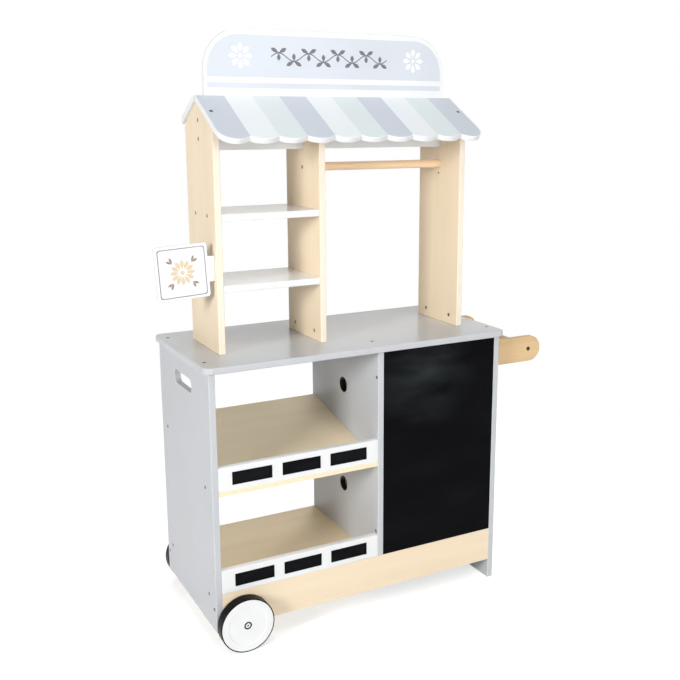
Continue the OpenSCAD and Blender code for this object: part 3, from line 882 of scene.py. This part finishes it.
bar_low, bar_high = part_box("handle_bar")
bar_x, bar_z = (bar_low.x + bar_high.x) / 2, (bar_low.z + bar_high.z) / 2
arm_spots = [((bar_x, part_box("front_handle_arm")[0].y, bar_z), FRONT)]
arm_spots += [((bar_x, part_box("rear_handle_arm")[1].y, bar_z), BACK)]
screws("handle_screws", arm_spots, ARM_SCREW_D, ARM_SOCKET_D)

bolt_spots = []
for bolt, outward in (("front_axle_bolt", FRONT), ("rear_axle_bolt", BACK)):
    low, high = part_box(bolt)
    face_y = low.y if outward == FRONT else high.y
    bolt_spots.append((((low.x + high.x) / 2, face_y, (low.z + high.z) / 2), outward))
screws("axle_bolt_caps", bolt_spots, BOLT_CAP_D, BOLT_SOCKET_D, zinc)


# Studio: a white floor that keeps a soft shadow, five soft lamps, and a little even light around.
# Each lamp has a level, an azimuth in degrees from the front to the left, its distance, height and
# size in metres, and whether it glints in the paint. The camera stands in front and to the left.
FLOOR_WHITE = (0.78, 0.78, 0.78, 1.0)
FLOOR_UNEVENNESS = 0.01
FLOOR_R, FLOOR_SIDES = 9.0, 64
FLOOR_DROP = 0.3 * MM
FLOOR_LIFT = 0.58
FLOOR_FADE = (0.7, 1.6)
PLAIN_WHITE = (1.0, 1.0, 1.0, 1.0)
WORLD_LEVEL = 0.14
LAMP_AIM = Vector((0, 0, 0.6))
LAMPS = (
    ("left_lamp", 0.62, 65, 3.4, 1.35, 0.8, False),
    ("front_lamp", 0.455, -6, 3.0, 1.1, 1.3, False),
    ("high_lamp", 0.28, 20, 1.4, 3.0, 1.3, True),
    ("back_lamp", 0.27, -145, 2.8, 1.6, 1.3, False),
    ("low_back_lamp", 0.64, -140, 3.2, 0.45, 1.3, False),
)
CAMERA_SPOT = (-815.9 * MM, -1575.8 * MM, 926.7 * MM)
CAMERA_AZIMUTH = math.radians(28.12)
CAMERA_DIP, CAMERA_ROLL = math.radians(11.89), math.radians(-0.1)
IMAGE_PIXELS = 680
FOCAL_PIXELS, MIDDLE_X, MIDDLE_Y = 926.5, 356.4, 316.2
SENSOR_W = 36.0
NEAREST_SEEN = 0.05


def seen_directly(tree):
    """1 for rays from the camera and for reflected or refracted ones, or else 0."""
    path = add(tree, "LightPath").outputs
    seen = calc(tree, "MAXIMUM", path["Is Camera Ray"], path["Is Glossy Ray"])
    return calc(tree, "MAXIMUM", seen, path["Is Transmission Ray"])


def floor_paint():
    """White paint that shows shade near the stall and fades to plain white further out."""
    floor_values = {"Colour": FLOOR_WHITE, "Unevenness": FLOOR_UNEVENNESS}
    material = coat("floor_white", paint_skin, floor_values, PEEL_HEIGHT, Specular_IOR_Level=0.0)
    tree = material.node_tree
    shader = tree.nodes["Principled BSDF"]
    seen = seen_directly(tree)
    shader.inputs["Emission Color"].default_value = PLAIN_WHITE
    tree.links.new(calc(tree, "MULTIPLY", seen, FLOOR_LIFT), shader.inputs["Emission Strength"])
    away = add(tree, "VectorMath", {0: own_place(tree)}, operation="LENGTH").outputs["Value"]
    far = calc(tree, "MULTIPLY", seen, spread(tree, away, *FLOOR_FADE, 0.0, 1.0))
    glow = add(tree, "Emission", {"Color": PLAIN_WHITE, "Strength": 1.0}).outputs[0]
    fade = add(tree, "MixShader", {0: far, 1: shader.outputs[0], 2: glow}).outputs[0]
    tree.links.new(fade, tree.nodes["Material Output"].inputs["Surface"])
    return material


def studio_floor():
    """A flat round sheet under the stall."""
    shape = bmesh.new()
    edge = circle(0, 0, FLOOR_R, FLOOR_SIDES)
    shape.faces.new([shape.verts.new((x, y, -FLOOR_DROP)) for x, y in edge])
    mesh = bpy.data.meshes.new("studio_floor")
    shape.to_mesh(mesh)
    shape.free()
    mesh.materials.append(floor_paint())
    floor = bpy.data.objects.new("studio_floor", mesh)
    bpy.context.scene.collection.objects.link(floor)


def studio_world():
    """Even light all round, which looks plain white."""
    world = bpy.data.worlds.new("studio_world")
    bpy.context.scene.world = world
    world.use_nodes = True
    tree = world.node_tree
    light = tree.nodes["Background"]
    light.inputs["Color"].default_value = PLAIN_WHITE
    level = spread(tree, seen_directly(tree), 0.0, 1.0, WORLD_LEVEL, 1.0)
    tree.links.new(level, light.inputs["Strength"])


def studio_lamp(name, level, azimuth, distance, height, size, glints):
    """A soft lamp that looks at the stall and isn't seen itself."""
    lamp = bpy.data.lights.new(name, "AREA")
    turn = math.radians(azimuth)
    spot = Vector((-math.sin(turn) * distance, -math.cos(turn) * distance, height))
    away = spot - LAMP_AIM
    lamp.size = size
    lamp.energy = level * math.pi ** 2 * away.length_squared
    stand = bpy.data.objects.new(name, lamp)
    stand.location = spot
    stand.rotation_euler = away.to_track_quat("Z", "Y").to_euler()
    stand.visible_camera = False
    stand.visible_glossy = glints
    bpy.context.scene.collection.objects.link(stand)


def studio_camera():
    """The photograph's camera, with its lens axis a little off the middle of the picture."""
    lens = bpy.data.cameras.new("photo_camera")
    lens.sensor_width = SENSOR_W
    lens.lens = FOCAL_PIXELS / IMAGE_PIXELS * SENSOR_W
    lens.shift_x = 0.5 - MIDDLE_X / IMAGE_PIXELS
    lens.shift_y = MIDDLE_Y / IMAGE_PIXELS - 0.5
    lens.clip_start = NEAREST_SEEN
    level = math.cos(CAMERA_DIP)
    ahead_x, ahead_y = math.sin(CAMERA_AZIMUTH) * level, math.cos(CAMERA_AZIMUTH) * level
    ahead = Vector((ahead_x, ahead_y, -math.sin(CAMERA_DIP)))
    right = ahead.cross(Vector(UP)).normalized()
    above = right.cross(ahead)
    c, s = math.cos(CAMERA_ROLL), math.sin(CAMERA_ROLL)
    turn = Matrix((right * c + above * s, above * c - right * s, -ahead)).transposed()
    camera = bpy.data.objects.new("photo_camera", lens)
    camera.matrix_world = Matrix.Translation(CAMERA_SPOT) @ turn.to_4x4()
    bpy.context.scene.collection.objects.link(camera)
    bpy.context.scene.camera = camera


studio_floor()
studio_world()
for lamp_facts in LAMPS:
    studio_lamp(*lamp_facts)
studio_camera()
bpy.context.scene.view_settings.view_transform = "Standard"
